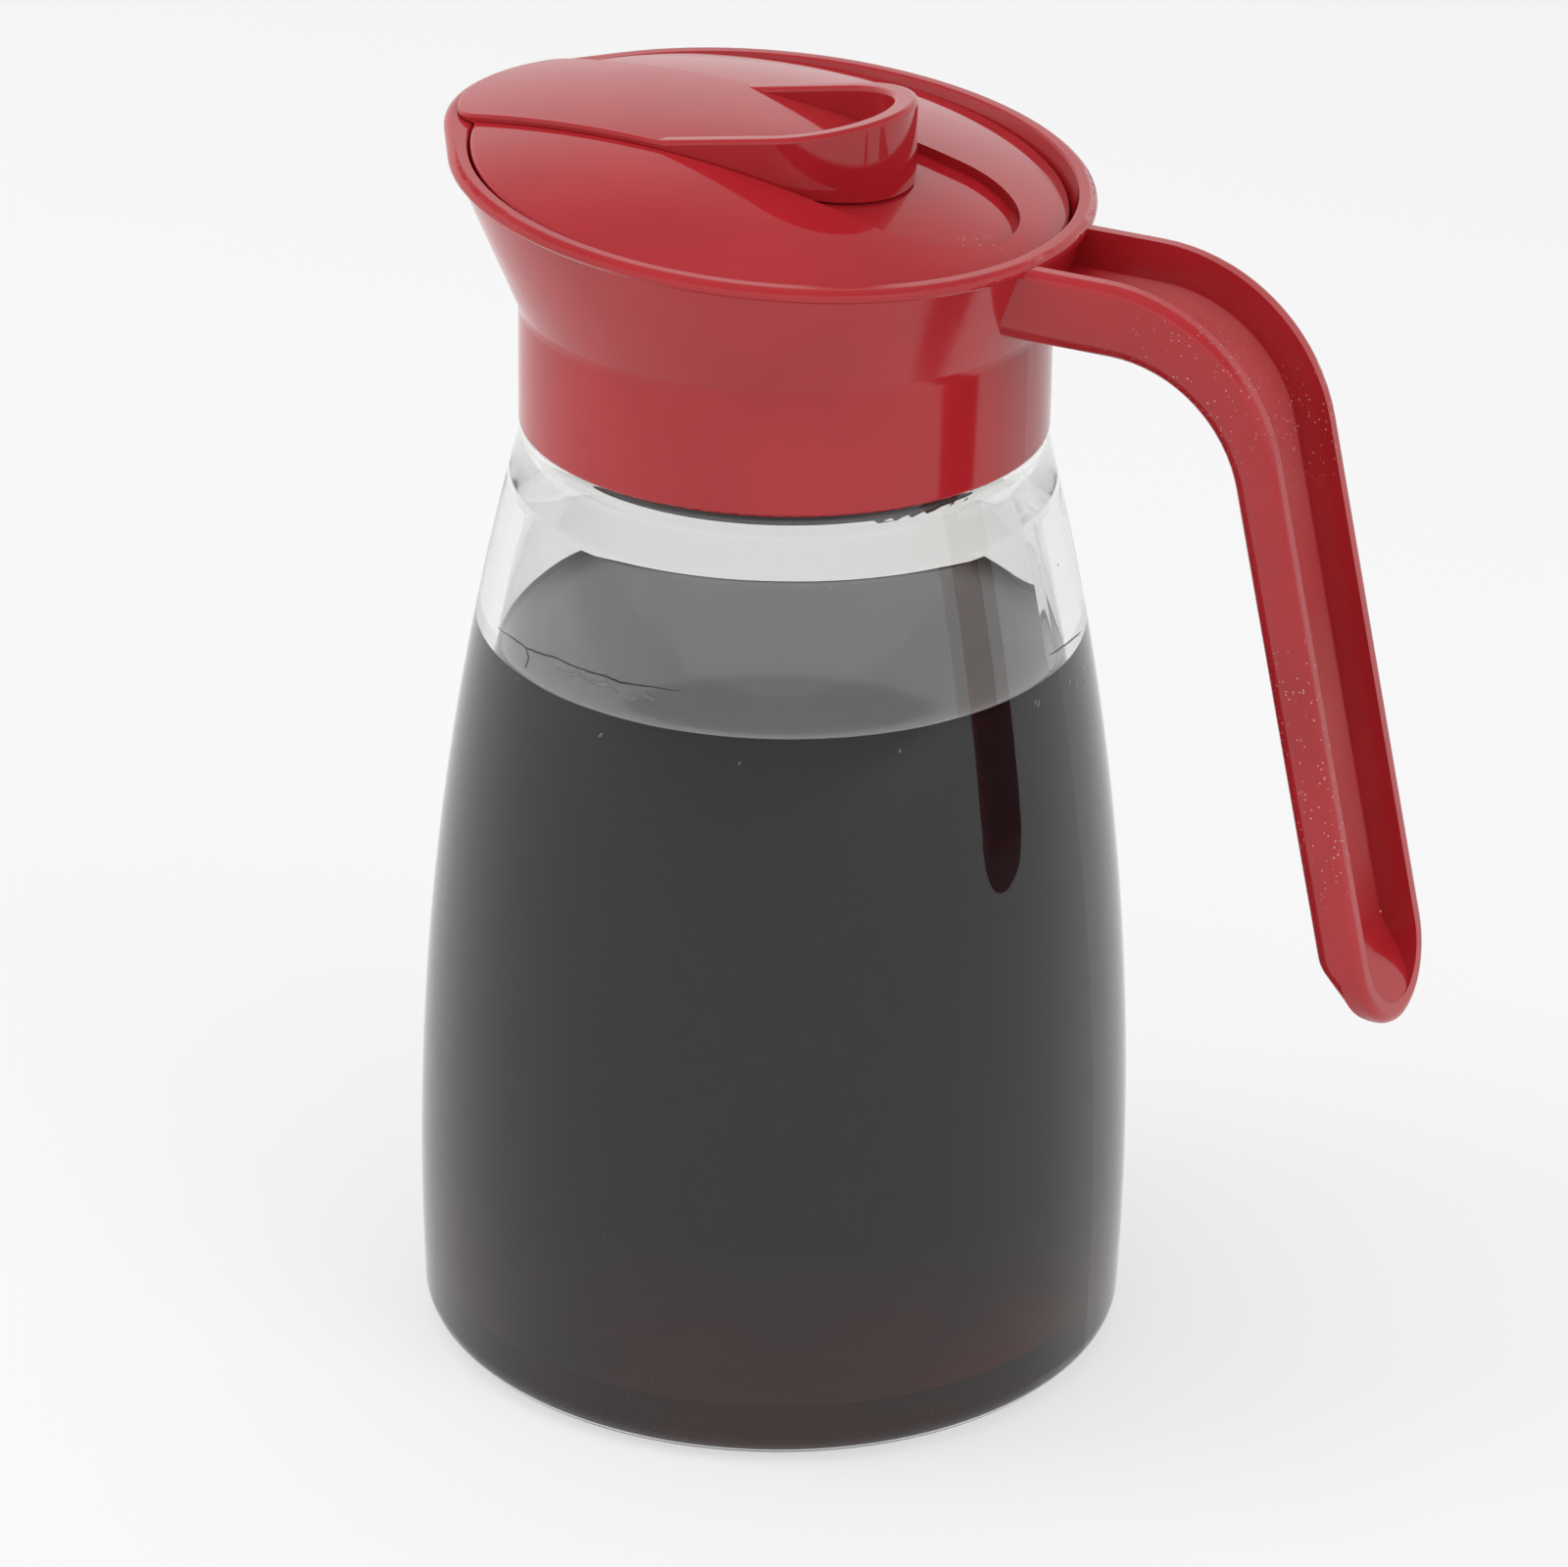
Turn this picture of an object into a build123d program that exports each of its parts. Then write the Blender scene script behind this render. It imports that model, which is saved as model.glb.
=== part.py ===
# Glass syrup dispenser: a bottle, a screw-on pouring collar with its handle, a neck seal,
# a domed lid insert and a gate that slides back over it to open the spout.
# Millimetres. Origin: centre of the bottle's foot. +Z up, spout towards -X, handle towards +X.
from build123d import *
from math import atan2, cos, radians, sin, sqrt, tan
import os

# ---- glass bottle ----
body_radius = 44.0            # widest half-width
body_widest_z = 20.0          # height of the widest place
glass_wall = 3.2
base_thickness = 5.0
heel_round = 4.0
foot_ring_radius = 33.0       # inside this the foot is pushed up
push_up = 2.0
shoulder_z = 118.2
shoulder_step = 3.5           # level ledge between the side and the neck
shoulder_round = 1.2
neck_radius = 27.8
neck_wall = 2.6
neck_height = 13.3            # above the shoulder
neck_lip_round = 0.8
inner_base_round = 8.0
inner_shoulder_drop = 8.2     # the inside turns in this far below the shoulder
inner_neck_drop = 0.9         # and meets the neck's bore this far below it
inner_shoulder_round = 3.0

# ---- neck seal ----
seal_thickness = 2.0
seal_inset = 0.3              # the seal stays this far inside the neck's outer edge

# ---- pouring collar ----
collar_gap = 0.4              # between the shoulder and the collar's lower edge
thread_room = 1.7             # radial room for the screw thread between neck and collar
skirt_wall = 2.2
skirt_edge_round = 0.5
shelf_thickness = 2.2
shelf_reach = 0.7             # the shelf stands inside the neck's bore
crease_rise = 0.2             # the skirt ends and the flare starts this far above the seal
flare_height = 16.4           # from the crease to the middle of the rim
flare_spread = 6.6            # from the skirt's radius to the rim's
crease_round = 3.0            # where the skirt turns out into the flare
rim_x = -1.9                  # the rim is set forward, towards the spout
rim_tilt = 4.6                # degrees, high at the spout
rim_wall = 2.2                # level measure of the flare's wall
rim_inner_round = 0.3
lip_thickness = 1.2           # upright edge of the rim
lip_round = 1.0
lip_step = 0.15               # the underside starts this far inside the lip
nose_radius = 24.0            # the rim swells forward at the spout
nose_swell = 2.7              # and reaches this far ahead of its own circle
nose_slope = 45.0             # degrees from upright, of the underside that carries the nose
nose_depth = 6.0              # deep enough to end inside the flare

# ---- handle ----
handle_width = 19.0
handle_drop = 3.6             # its top is this far below the middle of the rim
handle_length = 87.7          # from its top down to its tip
handle_reach = 31.2           # from the skirt to where top line and grip line would meet
handle_root_depth = 9.3
handle_grip_depth = 6.2
handle_lean = 13.0            # degrees from vertical
handle_outer_bend = 23.0
handle_inner_bend = 16.5
handle_heel_bend = 5.0        # where the bottle side turns out to the tip
handle_heel_height = 8.0      # above the tip
handle_tip_depth = 0.8
handle_wall = 2.4
handle_inner_round = 3.0
handle_crest_round = 1.2      # outer edge of each wall's crest
channel_root_depth = 4.7
channel_grip_depth = 4.3
channel_bend = 18.0
channel_heel_bend = 6.0
channel_tip_wall = 2.4        # along the grip, past the channel's end

# ---- lid insert ----
deck_apex_x = -18.0           # highest place of the domed deck
deck_rise = 4.7               # of that place above the middle of the rim
deck_arc_radius = 138.0       # along the gate's travel: the gate swings on this radius
deck_cross_radius = 136.0     # across the travel
deck_thickness = 3.2
deck_edge_round = 0.5
insert_clearance = 0.25
insert_wall = 1.8
track_depth = 1.3
track_side_clearance = 0.3
track_end_clearance = 0.3
pour_notch_width = 16.0
pour_notch_drop = 9.0         # from the deck's highest place to the notch's sill
pour_notch_lead = 1.2         # the open gate's tip clears the notch by this much

# ---- slide gate ----
gate_clearance = 0.4          # over the track floor
gate_rim_clearance = 0.2      # over the rim
gate_half_width = 12.0
gate_rise = 0.8               # the gate's top over the deck
gate_edge_round = 0.35
gate_setback = 1.0            # its tip is this far behind the nose
gate_tip_radius = 18.0
gate_corner_round = 4.0
gate_rear_x = 15.4
gate_travel = 13.2
loop_wall = 2.2
loop_rear_wall = 2.9
loop_height = 2.2             # its top plane over the deck's highest place, at x = 0
loop_rise = 10.5              # degrees, towards the handle
loop_edge_round = 0.6
loop_front_x = -22.0          # ahead of here the loop's top plane is inside the strip
hook_front_x = -12.0
hook_length = 8.0
hook_half_spread = 3.3        # to the outer side of each leg
hook_leg_thickness = 1.5
hook_barb = 1.3               # sideways reach under the deck
hook_barb_thickness = 1.4
hook_clearance = 0.3

# ---- sizes worked out from these ----
lean = radians(handle_lean)
tilt = radians(rim_tilt)
rise = radians(loop_rise)
shoulder_radius = neck_radius + shoulder_step
side_rise = shoulder_z - body_widest_z
side_taper = body_radius - shoulder_radius
body_side_radius = (side_rise**2 + side_taper**2) / (2 * side_taper)   # one arc for the whole side
inner_shoulder_z = shoulder_z - inner_shoulder_drop
inner_neck_z = shoulder_z - inner_neck_drop
neck_top_z = shoulder_z + neck_height
neck_bore = neck_radius - neck_wall
seal_top_z = neck_top_z + seal_thickness
collar_bottom_z = shoulder_z + collar_gap
collar_bore = neck_radius + thread_room
collar_radius = collar_bore + skirt_wall
shelf_top_z = seal_top_z + shelf_thickness
shelf_hole_radius = neck_bore - shelf_reach
crease_z = seal_top_z + crease_rise
rim_z = crease_z + flare_height
rim_radius = collar_radius + flare_spread
nose_reach = rim_radius - rim_x + nose_swell
deck_apex_z = rim_z + deck_rise
hinge_z = deck_apex_z - deck_arc_radius
track_half_width = gate_half_width + track_side_clearance
track_end_x = gate_rear_x + gate_travel + track_end_clearance
gate_tip_x = gate_setback - nose_reach
pour_notch_rear_x = gate_tip_x + gate_travel - pour_notch_lead
hook_slot_half_width = hook_half_spread + hook_clearance
hook_bottom = deck_thickness + hook_clearance + hook_barb_thickness
handle_top_z = rim_z - handle_drop
handle_corner_x = collar_radius + handle_reach
handle_tip = (handle_corner_x + handle_length * tan(lean), handle_top_z - handle_length)
tip_x_step = handle_tip_depth * cos(lean)
tip_z_step = handle_tip_depth * sin(lean)
handle_tip_inner = (handle_tip[0] - tip_x_step, handle_tip[1] - tip_z_step)
channel_half_width = handle_width / 2 - handle_wall
channel_tip = (handle_tip[0] - channel_tip_wall * sin(lean), handle_tip[1] + channel_tip_wall * cos(lean))
tall = 60.0                   # taller than the head, for cuts that run clear of it
past_rim = 1.3                # the flare's inside is lengthened by this share, to run clear of the rim
swing = 35                    # degrees each way, wider than the deck
on_line = 0.01                # an edge nearer than this follows the line


def side_radius(z, inset=0):
    """Half-width of the bottle's side arc at height z, moved in by inset."""
    return body_radius - body_side_radius + sqrt((body_side_radius - inset) ** 2 - (z - body_widest_z) ** 2)


def rim_plane(lift):
    """The tilted plane of the rim, raised by lift."""
    return Plane(
        origin=(rim_x, 0, rim_z + lift),
        x_dir=(cos(tilt), 0, -sin(tilt)),
        z_dir=(sin(tilt), 0, cos(tilt)),
    )


def flare_cone(inset, stretch=1):
    """The flare's cone moved in by inset, from the crease up to the rim, or past it."""
    low = collar_radius - inset
    high = rim_radius - inset
    climb = stretch * high * sin(tilt)
    run = low + stretch * (high * cos(tilt) - low)
    slope = atan2(climb, run)
    top = Plane(
        origin=(stretch * rim_x, 0, crease_z + stretch * flare_height),
        x_dir=(cos(slope), 0, -sin(slope)),
        z_dir=(sin(slope), 0, cos(slope)),
    )
    with BuildPart() as cone:
        with BuildSketch(Plane.XY.offset(crease_z)):
            Circle(low)
        with BuildSketch(top):
            Circle(sqrt(climb**2 + run**2))
        loft(ruled=True)
    return cone.part


def rim_outline(lift, inset=0):
    """The rim's outer outline with its nose, in the rim's plane raised by lift, moved in by inset."""
    with BuildSketch(rim_plane(lift)) as outline:
        Circle(rim_radius - inset)
        with Locations((nose_radius - nose_reach - rim_x, 0)):
            Circle(nose_radius - inset)
        make_hull()
    return outline.sketch


def rim_face(part):
    """The part's face in the rim's plane."""
    return part.faces().sort_by(Axis(rim_plane(0).origin, rim_plane(0).z_dir))[-1]


def flare_room(inset):
    """The room inside the flare above the collar's shelf, open past the rim."""
    with BuildPart() as room:
        add(flare_cone(inset, past_rim))
        split(bisect_by=Plane.XY.offset(shelf_top_z), keep=Keep.TOP)
    return room.part


def under_deck(drop):
    """Everything under the domed deck's surface lowered by drop: an arc across the travel,
    turned about the gate's axis, so that all such surfaces run along each other."""
    reach = nose_reach + rim_wall
    start = Plane(
        origin=(deck_apex_x, 0, hinge_z),
        x_dir=(0, 1, 0),
        z_dir=(cos(radians(swing)), 0, sin(radians(swing))),
    )
    top = deck_arc_radius - drop
    arc = deck_cross_radius - drop
    edge = top - arc + sqrt(arc**2 - reach**2)
    with BuildPart() as barrel:
        with BuildSketch(start):
            with BuildLine():
                ThreePointArc((-reach, edge), (0, top), (reach, edge))
                Polyline((reach, edge), (reach, top - tall), (-reach, top - tall), (-reach, edge))
            make_face()
        revolve(axis=Axis((deck_apex_x, 0, hinge_z), (0, 1, 0)), revolution_arc=2 * swing)
    return barrel.part


def handle_line(root_depth, grip_depth):
    """Upper corner and lower end of a line inside the handle, below its outer ridge."""
    corner_x = handle_corner_x - grip_depth / cos(lean) + root_depth * tan(lean)
    corner_z = handle_top_z - root_depth
    end_z = handle_tip[1] + handle_heel_height
    return (corner_x, corner_z), (corner_x + (corner_z - end_z) * tan(lean), end_z)


def seen_from_behind(width):
    """Prism through the handle with a round lower end, seen square to the grip."""
    view = Plane(
        origin=(handle_tip[0], 0, handle_tip[1]),
        x_dir=(0, 1, 0),
        z_dir=(cos(lean), 0, sin(lean)),
    )
    with BuildPart() as prism:
        with BuildSketch(view):
            with Locations((0, handle_width / 2)):
                Circle(width / 2)
            with Locations((0, handle_width / 2 + tall)):
                Rectangle(width, 2 * tall)
        extrude(amount=tall, both=True)
    return prism.part


def corner(sketch, point):
    """The sketch's corner nearest to the point, in the sketch's own plane."""
    return sketch.vertices().sort_by_distance((point[0], point[1], 0))[0]


def edges_along(part, line):
    """The part's edges that follow a line of its side view, without those square to it."""
    return part.edges().filter_by(
        lambda edge: abs((edge @ 0).Y - (edge @ 1).Y) < on_line
        and all(
            line.distance_to(Vertex(point.X, point.Z, 0)) < on_line
            for point in (edge @ 0.2, edge @ 0.5, edge @ 0.8)
        )
    )


def gate_plan(rear_x, half_width, tip_x):
    """The strip seen from above: square sides, a rounded front and a half-round rear end."""
    side_x = tip_x + gate_tip_radius - sqrt(gate_tip_radius**2 - half_width**2)
    with BuildSketch() as plan:
        with BuildLine():
            front = ThreePointArc((side_x, -half_width), (tip_x, 0), (side_x, half_width))
            side = Line(front @ 1, (rear_x - half_width, half_width))
            rear = ThreePointArc(side @ 1, (rear_x, 0), (rear_x - half_width, -half_width))
            Line(rear @ 1, front @ 0)
        make_face()
        fillet(plan.vertices().group_by(Axis.X)[0], radius=gate_corner_round)
    return plan.sketch


# ---- glass bottle ----
with BuildPart() as glass_bottle:
    with BuildSketch(Plane.XZ) as outside:
        foot = (side_radius(0), 0)
        shoulder = (side_radius(shoulder_z), shoulder_z)
        with BuildLine():
            TangentArc((0, push_up), (foot_ring_radius, 0), tangent=(1, 0))
            Line((foot_ring_radius, 0), foot)
            ThreePointArc(foot, (side_radius(shoulder_z / 2), shoulder_z / 2), shoulder)
            Line(shoulder, (neck_radius, shoulder_z))
            Line((neck_radius, shoulder_z), (neck_radius, neck_top_z))
            Line((neck_radius, neck_top_z), (0, neck_top_z))
            Line((0, neck_top_z), (0, push_up))
        make_face()
        fillet(corner(outside, foot), radius=heel_round)
        fillet(corner(outside, shoulder), radius=shoulder_round)
        fillet(corner(outside, (neck_radius, neck_top_z)), radius=neck_lip_round)
    revolve(axis=Axis.Z)
    with BuildSketch(Plane.XZ) as inside:
        floor = (side_radius(base_thickness, glass_wall), base_thickness)
        brow = (side_radius(inner_shoulder_z, glass_wall), inner_shoulder_z)
        middle = (floor[1] + brow[1]) / 2
        with BuildLine():
            Line((0, base_thickness), floor)
            ThreePointArc(floor, (side_radius(middle, glass_wall), middle), brow)
            Line(brow, (neck_bore, inner_neck_z))
            Line((neck_bore, inner_neck_z), (neck_bore, neck_top_z + 1))
            Line((neck_bore, neck_top_z + 1), (0, neck_top_z + 1))
            Line((0, neck_top_z + 1), (0, base_thickness))
        make_face()
        fillet(corner(inside, floor), radius=inner_base_round)
        fillet(corner(inside, brow), radius=inner_shoulder_round)
        fillet(corner(inside, (neck_bore, inner_neck_z)), radius=inner_shoulder_round)
    revolve(axis=Axis.Z, mode=Mode.SUBTRACT)

# ---- neck seal ----
with BuildPart() as neck_seal:
    with BuildSketch(Plane.XY.offset(neck_top_z)):
        Circle(neck_radius - seal_inset)
        Circle(neck_bore, mode=Mode.SUBTRACT)
    extrude(amount=seal_thickness)

# ---- handle ----
with BuildPart() as handle:
    with BuildSketch(Plane.XZ):
        top_corner = handle_line(0, 0)[0]
        grip_corner, heel = handle_line(handle_root_depth, handle_grip_depth)
        with BuildLine():
            ridge = FilletPolyline(
                (shelf_hole_radius, top_corner[1]), top_corner, handle_tip, radius=handle_outer_bend
            )
            Line(handle_tip, handle_tip_inner)
            inner = FilletPolyline(
                handle_tip_inner,
                heel,
                grip_corner,
                (shelf_hole_radius, grip_corner[1]),
                radius=(handle_heel_bend, handle_inner_bend),
            )
            Line(inner @ 1, ridge @ 0)
        make_face()
    extrude(amount=handle_width / 2, both=True)
    fillet(edges_along(handle, inner), radius=handle_inner_round)
    add(seen_from_behind(handle_width), mode=Mode.INTERSECT)

# ---- the channel along the handle's outer side ----
with BuildPart() as channel:
    with BuildSketch(Plane.XZ) as profile:
        floor_corner, floor_heel = handle_line(channel_root_depth, channel_grip_depth)
        with BuildLine():
            Polyline(
                (shelf_hole_radius, floor_corner[1]),
                floor_corner,
                floor_heel,
                channel_tip,
                (channel_tip[0] + tall, channel_tip[1]),
                (channel_tip[0] + tall, handle_top_z + tall),
                (shelf_hole_radius, handle_top_z + tall),
                (shelf_hole_radius, floor_corner[1]),
            )
        make_face()
        fillet(corner(profile, floor_corner), radius=channel_bend)
        fillet(corner(profile, floor_heel), radius=channel_heel_bend)
    extrude(amount=tall, both=True)
    add(seen_from_behind(2 * channel_half_width), mode=Mode.INTERSECT)

with BuildPart() as grip:
    add(handle)
    add(channel, mode=Mode.SUBTRACT)
    crests = edges_along(grip, ridge)
    outer_crests = crests.filter_by(lambda edge: abs((edge @ 0).Y) > channel_half_width + on_line)
    fillet(outer_crests, radius=handle_crest_round)

# ---- pouring collar ----
with BuildPart() as pouring_collar:
    add(flare_cone(0))
    split(bisect_by=rim_plane(-lip_thickness), keep=Keep.BOTTOM)
    with BuildSketch(Plane.XY.offset(collar_bottom_z)):
        Circle(collar_radius)
    extrude(amount=crease_z - collar_bottom_z)
    crease = pouring_collar.edges().filter_by(lambda edge: abs(edge.center().Z - crease_z) < on_line)
    fillet(crease, radius=crease_round)
    extrude(rim_outline(-lip_thickness, lip_step), amount=-nose_depth, taper=nose_slope)
    extrude(rim_outline(0), amount=-lip_thickness)
    fillet(rim_face(pouring_collar).edges(), radius=lip_round)
    add(grip)
    add(flare_room(rim_wall), mode=Mode.SUBTRACT)
    fillet(rim_face(pouring_collar).inner_wires()[0].edges(), radius=rim_inner_round)
    with BuildSketch(Plane.XY.offset(collar_bottom_z)):
        Circle(collar_bore)
    extrude(amount=seal_top_z - collar_bottom_z, mode=Mode.SUBTRACT)
    with BuildSketch(Plane.XY.offset(collar_bottom_z)):
        Circle(shelf_hole_radius)
    extrude(amount=tall / 2, mode=Mode.SUBTRACT)
    low_edges = pouring_collar.faces().sort_by(lambda f: abs(f.center().Z - collar_bottom_z))[0].edges()
    fillet(low_edges, radius=skirt_edge_round)

# ---- lid insert ----
with BuildPart() as lid_insert:
    add(flare_room(rim_wall + insert_clearance))
    add(under_deck(0), mode=Mode.INTERSECT)
    deck_edge = lid_insert.edges().sort_by(Axis.Z)[-1]
    fillet(deck_edge, radius=deck_edge_round)
    with BuildPart(mode=Mode.PRIVATE) as hollow:
        add(flare_room(rim_wall + insert_clearance + insert_wall))
        add(under_deck(deck_thickness), mode=Mode.INTERSECT)
    add(hollow, mode=Mode.SUBTRACT)
    with BuildPart(mode=Mode.PRIVATE) as track:
        with BuildSketch(Plane.XY.offset(shelf_top_z)):
            add(gate_plan(track_end_x, track_half_width, -tall))
        extrude(amount=tall)
        add(under_deck(track_depth), mode=Mode.SUBTRACT)
    add(track, mode=Mode.SUBTRACT)
    with BuildSketch(Plane.XY.offset(shelf_top_z)):
        with Locations((hook_front_x - hook_clearance, 0)):
            Rectangle(
                hook_length + gate_travel + 2 * hook_clearance,
                2 * hook_slot_half_width,
                align=(Align.MIN, Align.CENTER),
            )
    extrude(amount=tall, mode=Mode.SUBTRACT)
    with BuildSketch(Plane.XZ):
        notch_z = deck_apex_z - pour_notch_drop
        with BuildLine():
            Polyline(
                (-tall, notch_z),
                (pour_notch_rear_x, notch_z),
                (pour_notch_rear_x, deck_apex_z + 1),
                (-tall, deck_apex_z + 1),
                (-tall, notch_z),
            )
        make_face()
    extrude(amount=pour_notch_width / 2, both=True, mode=Mode.SUBTRACT)

# ---- slide gate ----
with BuildPart() as thumb_loop:
    with BuildSketch(Plane.XY.offset(shelf_top_z)):
        add(gate_plan(gate_rear_x, gate_half_width, gate_tip_x))
        add(gate_plan(gate_rear_x - loop_rear_wall, gate_half_width - loop_wall, -tall), mode=Mode.SUBTRACT)
        with Locations((loop_front_x, 0)):
            Rectangle(2 * tall, 2 * tall, align=(Align.MIN, Align.CENTER), mode=Mode.INTERSECT)
    extrude(amount=tall)
    loop_top = Plane(
        origin=(0, 0, deck_apex_z + loop_height),
        x_dir=(cos(rise), 0, sin(rise)),
        z_dir=(-sin(rise), 0, cos(rise)),
    )
    split(bisect_by=loop_top, keep=Keep.BOTTOM)
    top_face = thumb_loop.faces().sort_by(Axis.Z)[-1]
    fillet(top_face.edges(), radius=loop_edge_round)

with BuildPart() as slide_gate:
    with BuildSketch(Plane.XY.offset(shelf_top_z)):
        add(gate_plan(gate_rear_x, gate_half_width, gate_tip_x))
    extrude(amount=tall)
    add(under_deck(-gate_rise), mode=Mode.INTERSECT)
    top_face = slide_gate.faces().sort_by(Axis.Z)[-1]
    fillet(top_face.edges(), radius=gate_edge_round)
    add(thumb_loop)
    add(under_deck(track_depth - gate_clearance), mode=Mode.SUBTRACT)
    with BuildPart(mode=Mode.PRIVATE) as rim_zone:
        with BuildSketch(rim_plane(gate_rim_clearance)):
            Rectangle(2 * tall, 2 * tall)
        extrude(amount=-tall)
        add(flare_room(rim_wall + insert_clearance), mode=Mode.SUBTRACT)
    add(rim_zone, mode=Mode.SUBTRACT)
    with BuildPart(mode=Mode.PRIVATE) as legs:
        leg_y = hook_half_spread - hook_leg_thickness / 2
        with BuildSketch(Plane.XY.offset(shelf_top_z)):
            with Locations((hook_front_x, leg_y), (hook_front_x, -leg_y)):
                Rectangle(hook_length, hook_leg_thickness, align=(Align.MIN, Align.CENTER))
        extrude(amount=tall)
        add(under_deck(0), mode=Mode.INTERSECT)
        add(under_deck(hook_bottom), mode=Mode.SUBTRACT)
    with BuildPart(mode=Mode.PRIVATE) as barbs:
        barb_y = hook_half_spread + hook_barb / 2
        with BuildSketch(Plane.XY.offset(shelf_top_z)):
            with Locations((hook_front_x, barb_y), (hook_front_x, -barb_y)):
                Rectangle(hook_length, hook_barb, align=(Align.MIN, Align.CENTER))
        extrude(amount=tall)
        add(under_deck(deck_thickness + hook_clearance), mode=Mode.INTERSECT)
        add(under_deck(hook_bottom), mode=Mode.SUBTRACT)
    add(legs)
    add(barbs)

# ---- write each piece ----
glass_bottle.part.label = "glass_bottle"
neck_seal.part.label = "neck_seal"
pouring_collar.part.label = "pouring_collar"
lid_insert.part.label = "lid_insert"
slide_gate.part.label = "slide_gate"
os.makedirs("parts", exist_ok=True)
export_step(glass_bottle.part, "parts/glass_bottle.step")
export_step(neck_seal.part, "parts/neck_seal.step")
export_step(pouring_collar.part, "parts/pouring_collar.step")
export_step(lid_insert.part, "parts/lid_insert.step")
export_step(slide_gate.part, "parts/slide_gate.step")
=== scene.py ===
"""Syrup dispenser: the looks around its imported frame.

Metres, in the frame's own axes: +Z up, the spout towards -X, the handle towards +X.
"""
import math
import random

import bmesh
import bpy
from mathutils import Matrix, Vector
from mathutils.bvhtree import BVHTree


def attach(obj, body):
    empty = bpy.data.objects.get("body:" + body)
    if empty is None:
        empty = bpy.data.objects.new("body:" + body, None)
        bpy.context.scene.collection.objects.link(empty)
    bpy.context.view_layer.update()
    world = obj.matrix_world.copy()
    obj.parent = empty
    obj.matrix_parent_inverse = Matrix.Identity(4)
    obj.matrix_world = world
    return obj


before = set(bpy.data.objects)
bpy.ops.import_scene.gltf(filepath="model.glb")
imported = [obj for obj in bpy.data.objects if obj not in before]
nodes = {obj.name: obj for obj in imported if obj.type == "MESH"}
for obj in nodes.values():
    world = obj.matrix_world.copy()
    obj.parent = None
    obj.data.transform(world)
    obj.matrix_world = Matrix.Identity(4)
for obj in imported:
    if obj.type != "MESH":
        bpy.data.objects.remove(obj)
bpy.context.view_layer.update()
MM = 0.001

# ---- camera ----
CAMERA_PLACE = Vector((331.3, -650.1, 410.1)) * MM
CAMERA_HEADING = math.radians(27.0)       # from +Y towards -X
CAMERA_DOWN = 0.424908
CAMERA_ROLL = 0.0153545
CAMERA_LENS = 151.18                      # mm on a 36 mm sensor
CAMERA_SHIFT = (0.0024, -0.0460)
CAMERA_NEAREST = 0.01

# ---- stage and lights ----
FLOOR_RADIUS = 6.0
FLOOR_DROP = 0.05 * MM
FLOOR_COLOUR = (0.82, 0.82, 0.82)
FLOOR_ROUGHNESS = 0.9
FLOOR_GLOW = 0.6                          # share of plain white in what is seen of the floor
WORLD_LIGHT = 0.62
BACKDROP_TOP = 0.42                       # the white backdrop ends here: sine of the angle of sight
CEILING_START = 0.70
CEILING_LIGHT = 0.40
# name, place, aim, size, watts
LAMPS = (
    ("overhead", (-0.15, -0.1, 1.0), (0, 0, 0.1), 0.9, 3.3),
    ("left", (-0.9, -0.5, 0.5), (0, 0, 0.08), 0.6, 4.0),
    ("right", (0.9, -0.3, 0.5), (0, 0, 0.08), 0.6, 3.0),
)

# ---- red plastic ----
RED_DEEP = (0.355, 0.013, 0.018)
RED_PLAIN = (0.41, 0.017, 0.023)
COLLAR_ROUGHNESS = 0.10
DECK_ROUGHNESS = 0.05
SMUDGE_ROUGHNESS = 0.10                   # added where it was touched
# pale tint of the dust specks and patches, and also of the painted reflection in the handle's channel
DUST_AND_PAINTED_REFLECTION = (0.72, 0.55, 0.53)
DUST_STRENGTH = 0.6
# where dust has gathered: a place and a radius, in mm
COLLAR_DUST = (((56, -6, 135), 13), ((64, 6, 128), 9), ((74, -9, 98), 14), ((77, -9, 86), 12))
DECK_DUST = (((27, -3, 147), 4), ((-30, 10, 153), 5))
CHANNEL_HALF = 6.9 * MM                   # half-width of the handle's channel
# strength of the painted reflection: a pale tint laid over the handle's channel where a bright reflection is
# seen
CHANNEL_PAINTED_REFLECTION = 0.11
CHANNEL_END = 68.0 * MM
HANDLE_ROOT = 36.0 * MM

# ---- glass and rubber ----
GLASS = (0.905, 0.91, 0.90)
RUBBER_DEEP = (0.55, 0.54, 0.52)
RUBBER_PLAIN = (0.66, 0.65, 0.62)

# ---- syrup ----
SYRUP_DARK = (0.021, 0.0205, 0.024)
SYRUP_LOW = (0.075, 0.018, 0.016)         # its thin layer over the base lets a little red through
SYRUP_LEVEL = 90.8 * MM
SYRUP_OVERLAP = 0.12 * MM                 # it wets the glass, so its skin lies just inside the wall
SYRUP_SIDES = 192
SYRUP_START = 50.0 * MM                   # the wall is felt for from this height on the axis
MENISCUS = 1.3 * MM
MENISCUS_REACH = 1.3 * MM
MENISCUS_DARK = 0.8 * MM                  # its steep edge shows the dark syrup and not the sky
SURFACE_EDGE = 6.0 * MM                   # from here inward the surface is level

# ---- dried syrup and bubbles ----
FILM_DARK = (0.035, 0.022, 0.020)
FILM_PALE = (0.52, 0.52, 0.50)
BEAD_SIDES = 8
BEAD_STEPS = 7                            # between two points of its path
BEAD_HEIGHT = 0.1 * MM
BEAD_WOBBLE = 0.06                        # mm up or down
BEAD_SIZES = (0.75, 1.15)                 # share of its half-width, drawn at each step
BEAD_TIP = 0.25                           # the same share at its ends
EDGE_HALF, EDGE_INWARD = 0.13 * MM, 0.02 * MM
DROP_HALF = 0.55 * MM
STREAK_HALF, STREAK_INWARD = 0.28 * MM, 0.04 * MM
BUBBLE_HALF, BUBBLE_INWARD = 0.16 * MM, -0.22 * MM
BUBBLE_LENGTHS = (0.3, 0.7)               # in degrees and in mm
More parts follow.
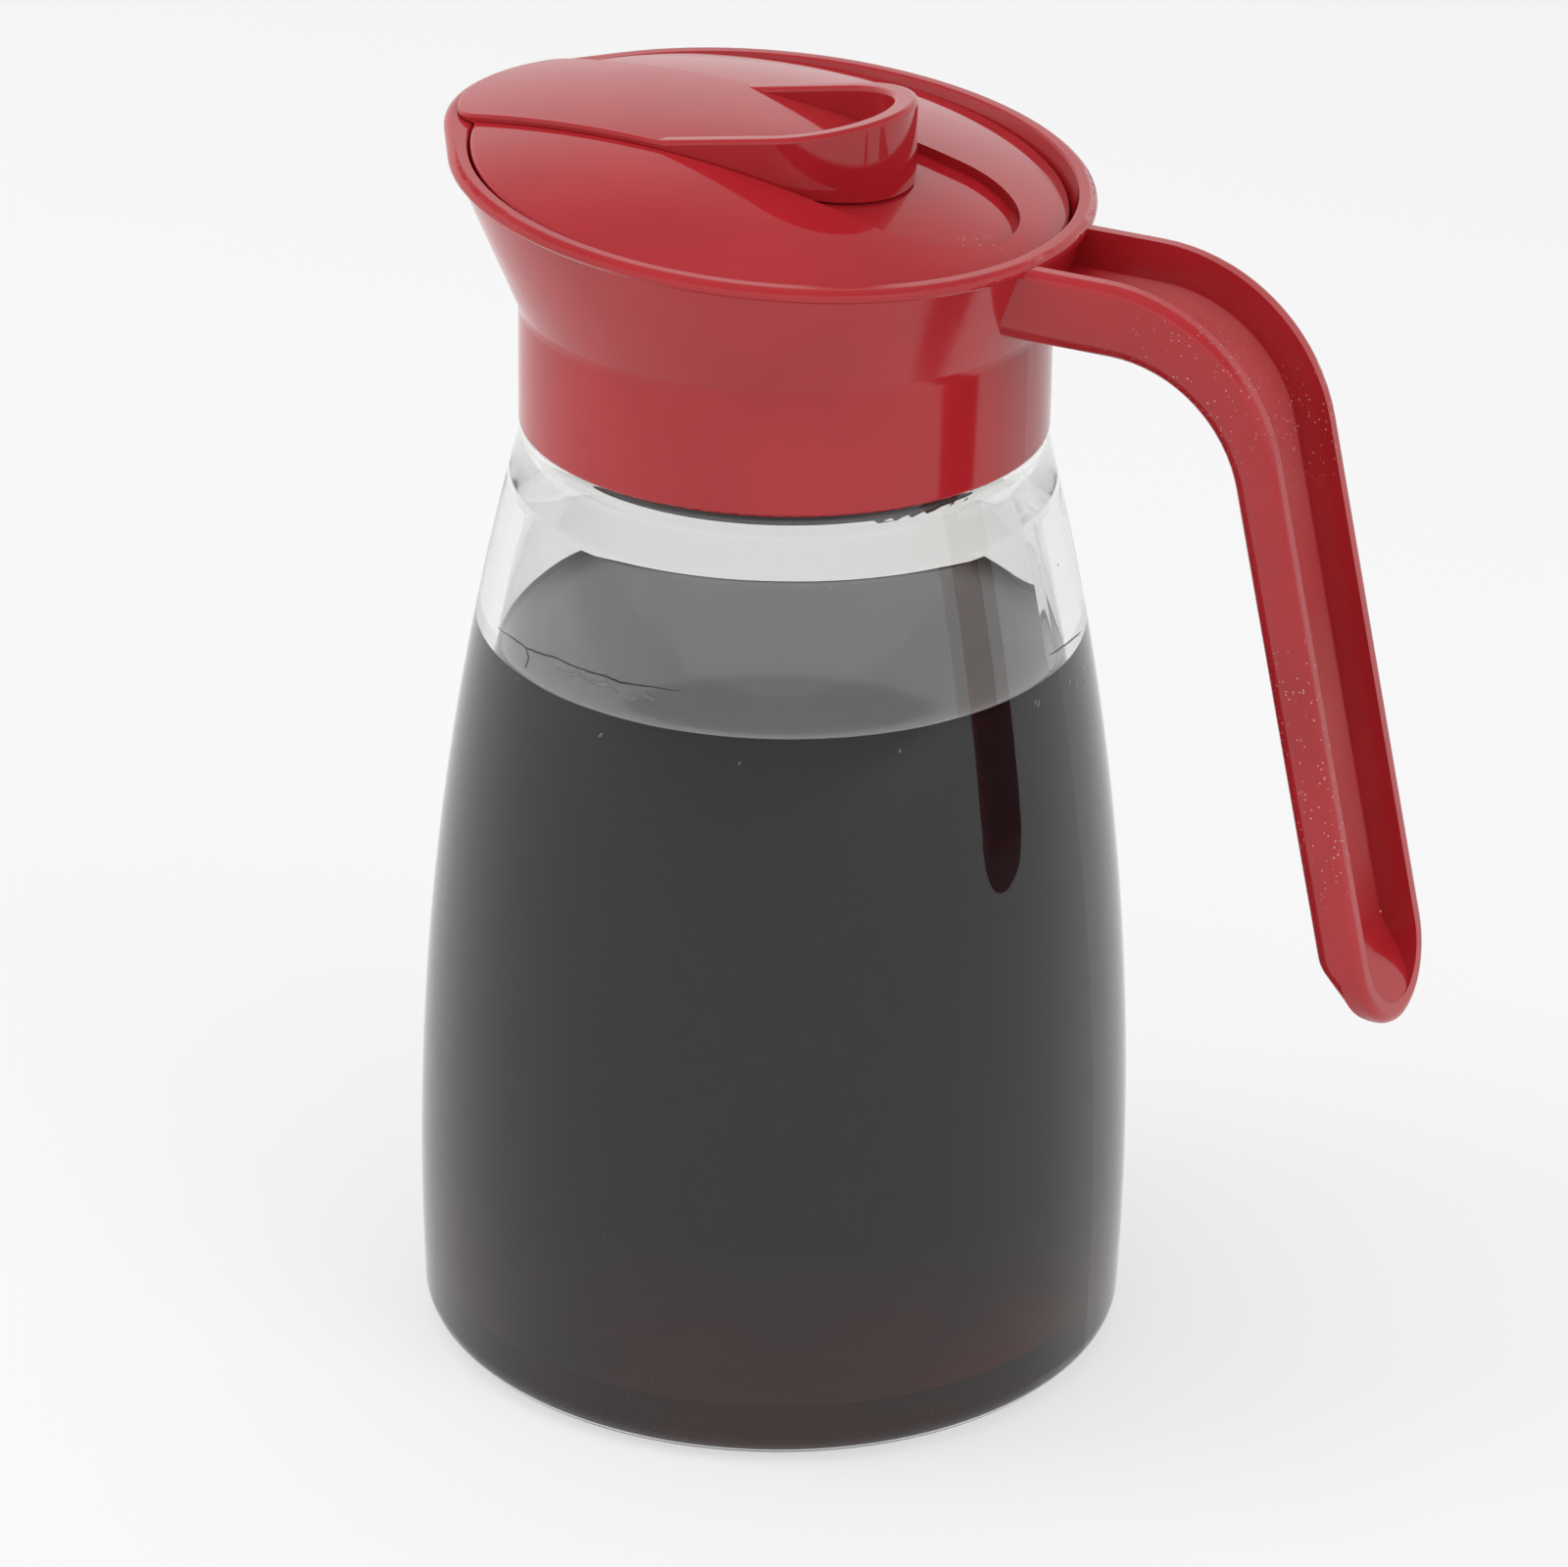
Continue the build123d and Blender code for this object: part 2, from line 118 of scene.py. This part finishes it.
# paths on the wall: degrees round the bottle from +X, and height in mm
FILM_EDGES = (
    ((-135, 95.0), (-127, 95.5), (-121.6, 95.5), (-112, 96.3), (-106, 96.2), (-100, 96.4), (-95.8, 96.2),
     (-90, 96.5), (-83, 96.7)),
    ((-122.2, 95.4), (-120.8, 94.5), (-121.4, 93.1)),
    ((1.5, 94.4), (7.4, 94.1), (13, 93.6), (19.2, 92.9)),
)
FILM_DROP = ((-128.0, 91.6), (-125.6, 90.9), (-122.9, 91.3), (-121.2, 91.9))
FILM_STREAKS = (
    ((-112.2, 95.2), (-109.6, 94.9), (-105.8, 95.5), (-102.5, 95.2), (-99.1, 95.3), (-96.2, 95.0)),
    ((-94.9, 94.8), (-93.2, 94.6), (-91.8, 94.9)),
    ((-90.7, 95.4), (-87.6, 95.1)),
)
BUBBLES = (
    (28.0, 87.8), (29.5, 88.6), (27.2, 88.4), (16.2, 88.9), (7.4, 89.3), (10.6, 88.1),
    (-6.4, 90.1), (-5.6, 89.6), (-99.0, 89.2), (-70.5, 88.9), (-40.0, 89.6),
)

# ---- screw thread ----
THREAD_PITCH = 4.2 * MM
THREAD_WIDTH = 2.0 * MM                   # along the axis, at the root
THREAD_TURNS = 1.3
THREAD_TURN_STEPS = 72
THREAD_FADE = 8                           # steps in which each end rises to full height
# one side to the other: place along the axis as a share of the width, height as a share of the depth
THREAD_PROFILE = (
    (0.5, 0.0), (0.42, 0.45), (0.26, 0.85), (0.1, 1.0),
    (-0.1, 1.0), (-0.26, 0.85), (-0.42, 0.45), (-0.5, 0.0),
)
NECK_THREAD_START = 121.6 * MM
NECK_THREAD_ROOT = 27.6 * MM
NECK_THREAD_CREST = 28.9 * MM
COLLAR_THREAD_START = NECK_THREAD_START + THREAD_PITCH / 2
COLLAR_THREAD_ROOT = 29.7 * MM
COLLAR_THREAD_CREST = 28.4 * MM


def mesh_object(name, bm, body, smooth=True):
    """A mesh piece from bm that rides on the body."""
    mesh = bpy.data.meshes.new(name)
    bmesh.ops.recalc_face_normals(bm, faces=bm.faces)
    bm.to_mesh(mesh)
    bm.free()
    for face in mesh.polygons:
        face.use_smooth = smooth
    piece = bpy.data.objects.new(name, mesh)
    bpy.context.scene.collection.objects.link(piece)
    if body:
        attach(piece, body)
    return piece


def join_rings(bm, first, second):
    """The faces between two rings of as many corners."""
    faces = []
    for k in range(len(first)):
        after = (k + 1) % len(first)
        faces.append(bm.faces.new((first[k], first[after], second[after], second[k])))
    return faces


# ---- node helpers ----
def new_material(name):
    """A material with its Principled shader, node tree and object coordinates."""
    material = bpy.data.materials.new(name)
    material.use_nodes = True
    tree = material.node_tree
    shader = tree.nodes["Principled BSDF"]
    place = tree.nodes.new("ShaderNodeTexCoord").outputs["Object"]
    return material, tree, shader, place


def noise(tree, place, scale, detail=3.0, roughness=0.5):
    """The grey output of a noise with this many cells a metre."""
    node = tree.nodes.new("ShaderNodeTexNoise")
    node.inputs["Scale"].default_value = scale
    node.inputs["Detail"].default_value = detail
    node.inputs["Roughness"].default_value = roughness
    tree.links.new(place, node.inputs["Vector"])
    return node.outputs["Fac"]


def remap(tree, value, low, high, to_low=0.0, to_high=1.0):
    """value taken from low..high to to_low..to_high, and held there outside it."""
    node = tree.nodes.new("ShaderNodeMapRange")
    for socket, number in zip(node.inputs[1:5], (low, high, to_low, to_high)):
        socket.default_value = number
    tree.links.new(value, node.inputs[0])
    return node.outputs[0]


def combine(tree, operation, first, second):
    """Two sockets joined by a Math operation."""
    node = tree.nodes.new("ShaderNodeMath")
    node.operation = operation
    tree.links.new(first, node.inputs[0])
    tree.links.new(second, node.inputs[1])
    return node.outputs[0]


def split_place(tree, place):
    """The separate X, Y and Z of a place."""
    axes = tree.nodes.new("ShaderNodeSeparateXYZ")
    tree.links.new(place, axes.inputs[0])
    return axes.outputs


def blend_colours(tree, factor, first, second):
    """A mix of two colours, each a plain colour or a socket."""
    node = tree.nodes.new("ShaderNodeMix")
    node.data_type = "RGBA"
    tree.links.new(factor, node.inputs[0])
    for socket, colour in zip(node.inputs[6:8], (first, second)):
        if isinstance(colour, tuple):
            socket.default_value = (*colour, 1.0)
        else:
            tree.links.new(colour, socket)
    return node.outputs[2]


def specks(tree, place, cells, size, share):
    """Small round specks: cells a metre, speck radius as a share of a cell, share of cells with one."""
    node = tree.nodes.new("ShaderNodeTexVoronoi")
    node.inputs["Scale"].default_value = cells
    tree.links.new(place, node.inputs["Vector"])
    dot = remap(tree, node.outputs["Distance"], size, size * 0.6)
    split = tree.nodes.new("ShaderNodeSeparateColor")
    tree.links.new(node.outputs["Color"], split.inputs[0])
    chosen = remap(tree, split.outputs[0], 1.0 - share, 1.0 - share + 0.001)
    return combine(tree, "MULTIPLY", dot, chosen)


def add_bump(tree, shader, height, distance, strength):
    """Bump of this depth in metres from a 0..1 height."""
    node = tree.nodes.new("ShaderNodeBump")
    node.inputs["Distance"].default_value = distance
    node.inputs["Strength"].default_value = strength
    tree.links.new(height, node.inputs["Height"])
    tree.links.new(node.outputs["Normal"], shader.inputs["Normal"])


# ---- materials ----
def patches(tree, place, spots):
    """Strong in the middle of each spot and 0 from its radius on. A spot is a place and a radius in mm."""
    most = None
    for middle, radius in spots:
        node = tree.nodes.new("ShaderNodeVectorMath")
        node.operation = "DISTANCE"
        node.inputs[1].default_value = Vector(middle) * MM
        tree.links.new(place, node.inputs[0])
        near = remap(tree, node.outputs["Value"], radius * MM, radius * MM * 0.3, 0.0, DUST_STRENGTH)
        most = near if most is None else combine(tree, "MAXIMUM", most, near)
    return most


def channel_painted_reflection(tree, place):
    """Painted reflection: a pale tint inside the handle's channel that stands in for the bright reflection
    seen on its floor.
    """
    axes = split_place(tree, place)
    side = tree.nodes.new("ShaderNodeMath")
    side.operation = "ABSOLUTE"
    tree.links.new(axes["Y"], side.inputs[0])
    inside = remap(tree, side.outputs[0], CHANNEL_HALF, CHANNEL_HALF - 0.3 * MM)
    behind = remap(tree, axes["X"], HANDLE_ROOT, HANDLE_ROOT + 6 * MM, 0.0, CHANNEL_PAINTED_REFLECTION)
    above = remap(tree, axes["Z"], CHANNEL_END, CHANNEL_END + 8 * MM)
    cloud = remap(tree, noise(tree, place, 60.0), 0.3, 0.7, 0.6, 1.0)
    return combine(
        tree, "MULTIPLY", combine(tree, "MULTIPLY", inside, behind), combine(tree, "MULTIPLY", above, cloud)
    )


def red_plastic(name, gloss, dusty):
    """Moulded glossy red plastic: slight colour drift, hazy smudges, faint waves, dust in patches, and a
    pale painted reflection in the handle's channel.
    """
    material, tree, shader, place = new_material(name)
    drift = remap(tree, noise(tree, place, 45.0), 0.35, 0.65)
    colour = blend_colours(tree, drift, RED_DEEP, RED_PLAIN)
    # painted reflection: the pale tint laid over the handle's channel
    colour = blend_colours(tree, channel_painted_reflection(tree, place), colour, DUST_AND_PAINTED_REFLECTION)
    thick = combine(tree, "MULTIPLY", specks(tree, place, 2300.0, 0.3, 0.2), patches(tree, place, dusty))
    colour = blend_colours(tree, thick, colour, DUST_AND_PAINTED_REFLECTION)
    colour = blend_colours(tree, specks(tree, place, 300.0, 0.045, 0.03), colour, DUST_AND_PAINTED_REFLECTION)
    tree.links.new(colour, shader.inputs["Base Color"])
    smudge = remap(tree, noise(tree, place, 70.0, 5.0, 0.6), 0.45, 0.75, gloss, gloss + SMUDGE_ROUGHNESS)
    tree.links.new(smudge, shader.inputs["Roughness"])
    add_bump(tree, shader, noise(tree, place, 90.0, 1.0), 0.00003, 0.3)
    shader.inputs["IOR"].default_value = 1.5
    return material


def clear_glass(name):
    """Clear pressed glass: slow waves from the mould and a few fine dust specks."""
    material, tree, shader, place = new_material(name)
    shader.inputs["Base Color"].default_value = (*GLASS, 1.0)
    shader.inputs["Transmission Weight"].default_value = 1.0
    shader.inputs["IOR"].default_value = 1.53
    dots = specks(tree, place, 350.0, 0.08, 0.03)
    tree.links.new(remap(tree, dots, 0.0, 1.0, 0.0, 0.5), shader.inputs["Roughness"])
    add_bump(tree, shader, noise(tree, place, 28.0, 1.0), 0.00005, 0.2)
    return material


def syrup_skin(name, wet):
    """Dark syrup: against the glass it only absorbs, and its free surface is wet and shiny."""
    material, tree, shader, place = new_material(name)
    low = remap(tree, split_place(tree, place)["Z"], 0.030, 0.012)
    cloud = remap(tree, noise(tree, place, 30.0), 0.35, 0.65)
    colour = blend_colours(tree, combine(tree, "MULTIPLY", low, cloud), SYRUP_DARK, SYRUP_LOW)
    tree.links.new(colour, shader.inputs["Base Color"])
    shader.inputs["IOR"].default_value = 1.6 if wet else 1.0
    shader.inputs["Specular IOR Level"].default_value = 0.5 if wet else 0.0
    gloss = remap(tree, noise(tree, place, 90.0), 0.4, 0.7, 0.03, 0.09)
    tree.links.new(gloss, shader.inputs["Roughness"])
    return material


def dried_syrup(name, colour):
    """A dried film: a little cloudy, shiny in places."""
    material, tree, shader, place = new_material(name)
    cloud = remap(tree, noise(tree, place, 500.0), 0.35, 0.65)
    deep = tuple(0.6 * part for part in colour)
    tree.links.new(blend_colours(tree, cloud, deep, colour), shader.inputs["Base Color"])
    tree.links.new(remap(tree, noise(tree, place, 900.0), 0.4, 0.7, 0.1, 0.4), shader.inputs["Roughness"])
    return material


def rubber(name):
    """Milky silicone rubber with a fine matt skin."""
    material, tree, shader, place = new_material(name)
    drift = remap(tree, noise(tree, place, 80.0), 0.35, 0.65)
    tree.links.new(blend_colours(tree, drift, RUBBER_DEEP, RUBBER_PLAIN), shader.inputs["Base Color"])
    tree.links.new(remap(tree, noise(tree, place, 300.0), 0.4, 0.7, 0.45, 0.6), shader.inputs["Roughness"])
    add_bump(tree, shader, noise(tree, place, 1500.0, 2.0), 0.00003, 0.4)
    return material


# ---- syrup ----
def bottle_tree():
    """The bottle's mesh, ready for rays."""
    mesh = nodes["glass_bottle"].data
    return BVHTree.FromPolygons([v.co for v in mesh.vertices], [p.vertices for p in mesh.polygons])


def wall_hits(tree):
    """Radius and height of the wall, from straight below the start to level with it, then up the side."""
    start = Vector((0, 0, SYRUP_START))
    rise = SYRUP_LEVEL + MENISCUS - SYRUP_START
    round_steps, side_steps = 60, 24
    rays = []
    for step in range(1, round_steps + 1):
        angle = math.radians(90 * step / round_steps)
        rays.append((start, Vector((math.sin(angle), 0, -math.cos(angle)))))
    for step in range(1, side_steps + 1):
        rays.append((start + Vector((0, 0, rise * step / side_steps)), Vector((1, 0, 0))))
    hits = [tree.ray_cast(begin, way)[0] + way * SYRUP_OVERLAP for begin, way in rays]
    return [(hit.x, hit.z) for hit in hits]


def surface_line(edge_radius):
    """The free surface from the wall to the middle, climbing the wall in a meniscus."""
    curved_steps, level_steps = 12, 8
    line = []
    for step in range(1, curved_steps + 1):
        inward = SURFACE_EDGE * (step / curved_steps) ** 1.5
        climb = MENISCUS * math.exp(-inward / MENISCUS_REACH)
        line.append((edge_radius - inward, SYRUP_LEVEL + climb))
    for step in range(1, level_steps + 1):
        share = 1 - step / (level_steps + 0.5)
        line.append(((edge_radius - SURFACE_EDGE) * share, SYRUP_LEVEL))
    return line


def add_syrup():
    """The liquid: a skin along the bottle's inside with its free surface."""
    wall = wall_hits(bottle_tree())
    edge_radius = wall[-1][0]
    bm = bmesh.new()
    rings = []
    for radius, z in wall + surface_line(edge_radius):
        turns = [math.tau * k / SYRUP_SIDES for k in range(SYRUP_SIDES)]
        rings.append([bm.verts.new((radius * math.cos(turn), radius * math.sin(turn), z)) for turn in turns])
    low = bm.verts.new((0, 0, wall[0][1]))
    top = bm.verts.new((0, 0, SYRUP_LEVEL))
    for k in range(SYRUP_SIDES):
        after = (k + 1) % SYRUP_SIDES
        bm.faces.new((low, rings[0][after], rings[0][k]))
        bm.faces.new((top, rings[-1][k], rings[-1][after]))
    for first, second in zip(rings, rings[1:]):
        join_rings(bm, first, second)
    piece = mesh_object("syrup", bm, "jar")
    piece.data.materials.append(syrup_skin("syrup_against_glass", False))
    piece.data.materials.append(syrup_skin("syrup_surface", True))
    for face in piece.data.polygons:
        on_top = face.center.z > SYRUP_LEVEL - 0.1 * MM
        inner = math.hypot(face.center.x, face.center.y) < edge_radius - MENISCUS_DARK
        face.material_index = int(on_top and inner)


def wall_point(tree, degrees, height, inward):
    """The place on the bottle's inner wall at this angle and height in mm, moved inward."""
    angle = math.radians(degrees)
    way = Vector((math.cos(angle), math.sin(angle), 0))
    return tree.ray_cast(Vector((0, 0, height * MM)), way)[0] - way * inward


def add_bead(bm, tree, path, half_width, inward, slot):
    """A thin irregular bead along a path on the inner wall, thinner at its ends."""
    steps = BEAD_STEPS * (len(path) - 1)
    rings = []
    for step in range(steps + 1):
        first = min(step // BEAD_STEPS, len(path) - 2)
        part = step / BEAD_STEPS - first
        near, far = path[first], path[first + 1]
        degrees, height = (a + (b - a) * part for a, b in zip(near, far))
        height += random.uniform(-BEAD_WOBBLE, BEAD_WOBBLE)
        middle = wall_point(tree, degrees, height, inward)
        out = Vector((middle.x, middle.y, 0)).normalized()
        run = wall_point(tree, *far, 0) - wall_point(tree, *near, 0)
        across = run.cross(out).normalized()
        fullness = min(1.0, BEAD_TIP + math.sin(math.pi * step / steps) * 1.5)
        size = half_width * fullness * random.uniform(*BEAD_SIZES)
        rings.append([
            bm.verts.new(middle + across * size * math.cos(turn) + out * BEAD_HEIGHT * math.sin(turn))
            for turn in (math.tau * k / BEAD_SIDES for k in range(BEAD_SIDES))
        ])
    faces = [bm.faces.new(rings[0]), bm.faces.new(rings[-1])]
    for first, second in zip(rings, rings[1:]):
        faces += join_rings(bm, first, second)
    for face in faces:
        face.material_index = slot


def add_film():
    """Dried syrup edges and pale streaks just above the liquid, and bubbles just below it."""
    tree = bottle_tree()
    bm = bmesh.new()
    for path in FILM_EDGES:
        add_bead(bm, tree, path, EDGE_HALF, EDGE_INWARD, 0)
    add_bead(bm, tree, FILM_DROP, DROP_HALF, 0.0, 0)
    for path in FILM_STREAKS:
        add_bead(bm, tree, path, STREAK_HALF, STREAK_INWARD, 1)
    for degrees, height in BUBBLES:
        length = random.uniform(*BUBBLE_LENGTHS)
        path = ((degrees, height), (degrees + length, height + length))
        add_bead(bm, tree, path, BUBBLE_HALF, BUBBLE_INWARD, 1)
    piece = mesh_object("syrup_film", bm, "jar")
    piece.data.materials.append(dried_syrup("dark_film", FILM_DARK))
    piece.data.materials.append(dried_syrup("pale_film", FILM_PALE))


# ---- screw thread ----
def add_thread(name, body, material, root, crest, start):
    """A rounded screw thread from the root radius to the crest radius, fading out at both ends."""
    steps = int(THREAD_TURN_STEPS * THREAD_TURNS)
    bm = bmesh.new()
    rings = []
    for step in range(steps + 1):
        angle = math.tau * THREAD_TURNS * step / steps
        rise = start + THREAD_PITCH * angle / math.tau
        fade = min(1.0, step / THREAD_FADE, (steps - step) / THREAD_FADE)
        rings.append([])
        for along, out in THREAD_PROFILE:
            radius = root + (crest - root) * max(out * fade, 0.02 * (out > 0))
            z = rise + THREAD_WIDTH * along
            rings[-1].append(bm.verts.new((radius * math.cos(angle), radius * math.sin(angle), z)))
    bm.faces.new(rings[0])
    bm.faces.new(rings[-1])
    for first, second in zip(rings, rings[1:]):
        join_rings(bm, first, second)
    piece = mesh_object(name, bm, body)
    piece.data.materials.append(material)


# ---- stage, lights and camera ----
def seen_rays(tree):
    """1 for rays that see the stage: from the camera, off gloss or through glass. 0 for the others."""
    rays = tree.nodes.new("ShaderNodeLightPath").outputs
    seen = combine(tree, "MAXIMUM", rays["Is Camera Ray"], rays["Is Glossy Ray"])
    return combine(tree, "MAXIMUM", seen, rays["Is Transmission Ray"])


def add_floor():
    """A wide pale floor that keeps the object's shadow."""
    bm = bmesh.new()
    bmesh.ops.create_circle(bm, cap_ends=True, segments=96, radius=FLOOR_RADIUS)
    floor = mesh_object("floor", bm, None, smooth=False)
    floor.location.z = -FLOOR_DROP
    material, tree, shader, _ = new_material("pale_floor")
    shader.inputs["Base Color"].default_value = (*FLOOR_COLOUR, 1)
    shader.inputs["Roughness"].default_value = FLOOR_ROUGHNESS
    shader.inputs["Specular IOR Level"].default_value = 0.0
    glow = tree.nodes.new("ShaderNodeEmission")
    mix = tree.nodes.new("ShaderNodeMixShader")
    tree.links.new(remap(tree, seen_rays(tree), 0.0, 1.0, 0.0, FLOOR_GLOW), mix.inputs[0])
    tree.links.new(shader.outputs[0], mix.inputs[1])
    tree.links.new(glow.outputs[0], mix.inputs[2])
    tree.links.new(mix.outputs[0], tree.nodes["Material Output"].inputs["Surface"])
    floor.data.materials.append(material)


def add_world():
    """Even light; seen directly, a white backdrop that gives way to a dimmer ceiling."""
    world = bpy.data.worlds.new("studio")
    bpy.context.scene.world = world
    world.use_nodes = True
    tree = world.node_tree
    background = tree.nodes["Background"]
    background.inputs["Color"].default_value = (1, 1, 1, 1)
    way = tree.nodes.new("ShaderNodeTexCoord").outputs["Generated"]
    height = split_place(tree, way)["Z"]
    backdrop = remap(tree, height, BACKDROP_TOP, CEILING_START, 1.0, CEILING_LIGHT)
    mix = tree.nodes.new("ShaderNodeMix")
    mix.inputs[2].default_value = WORLD_LIGHT
    tree.links.new(seen_rays(tree), mix.inputs[0])
    tree.links.new(backdrop, mix.inputs[3])
    tree.links.new(mix.outputs[0], background.inputs["Strength"])


def add_lamp(name, place, aim, size, power):
    """A square soft light at place that points at aim."""
    light = bpy.data.lights.new(name, "AREA")
    light.size = size
    light.energy = power
    lamp = bpy.data.objects.new(name, light)
    bpy.context.scene.collection.objects.link(lamp)
    lamp.location = place
    lamp.visible_glossy = False           # gloss and glass show the studio's white alone
    lamp.visible_transmission = False
    lamp.rotation_euler = (Vector(aim) - Vector(place)).to_track_quat("-Z", "Y").to_euler()


def add_camera():
    """The camera, turned by its heading, its dip and its roll."""
    forward = Vector((
        -math.cos(CAMERA_DOWN) * math.sin(CAMERA_HEADING),
        math.cos(CAMERA_DOWN) * math.cos(CAMERA_HEADING),
        -math.sin(CAMERA_DOWN),
    ))
    level = Vector((math.cos(CAMERA_HEADING), math.sin(CAMERA_HEADING), 0))
    above = level.cross(forward)
    right = math.cos(CAMERA_ROLL) * level + math.sin(CAMERA_ROLL) * above
    up = math.cos(CAMERA_ROLL) * above - math.sin(CAMERA_ROLL) * level
    data = bpy.data.cameras.new("camera")
    data.sensor_width = 36.0
    data.lens = CAMERA_LENS
    data.shift_x, data.shift_y = CAMERA_SHIFT
    data.clip_start = CAMERA_NEAREST
    camera = bpy.data.objects.new("camera", data)
    bpy.context.scene.collection.objects.link(camera)
    turn = Matrix((right, up, -forward)).transposed().to_4x4()
    camera.matrix_world = Matrix.Translation(CAMERA_PLACE) @ turn
    bpy.context.scene.camera = camera


def paint(node, material):
    """Gives a CAD node its finished material."""
    nodes[node].data.materials.clear()
    nodes[node].data.materials.append(material)


add_camera()
add_floor()
add_world()
for lamp in LAMPS:
    add_lamp(*lamp)
random.seed(5)
glass = clear_glass("bottle_glass")
paint("glass_bottle", glass)
paint("neck_seal", rubber("seal_rubber"))
collar_red = red_plastic("collar_red", COLLAR_ROUGHNESS, COLLAR_DUST)
paint("pouring_collar", collar_red)
paint("lid_insert", red_plastic("deck_red", DECK_ROUGHNESS, DECK_DUST))
paint("slide_gate", red_plastic("gate_red", DECK_ROUGHNESS, DECK_DUST))
add_syrup()
add_film()
add_thread(
    "neck_thread", "jar", glass, NECK_THREAD_ROOT, NECK_THREAD_CREST, NECK_THREAD_START
)
add_thread(
    "collar_thread", "head", collar_red, COLLAR_THREAD_ROOT, COLLAR_THREAD_CREST,
    COLLAR_THREAD_START
)

bpy.context.scene.view_settings.view_transform = "Standard"
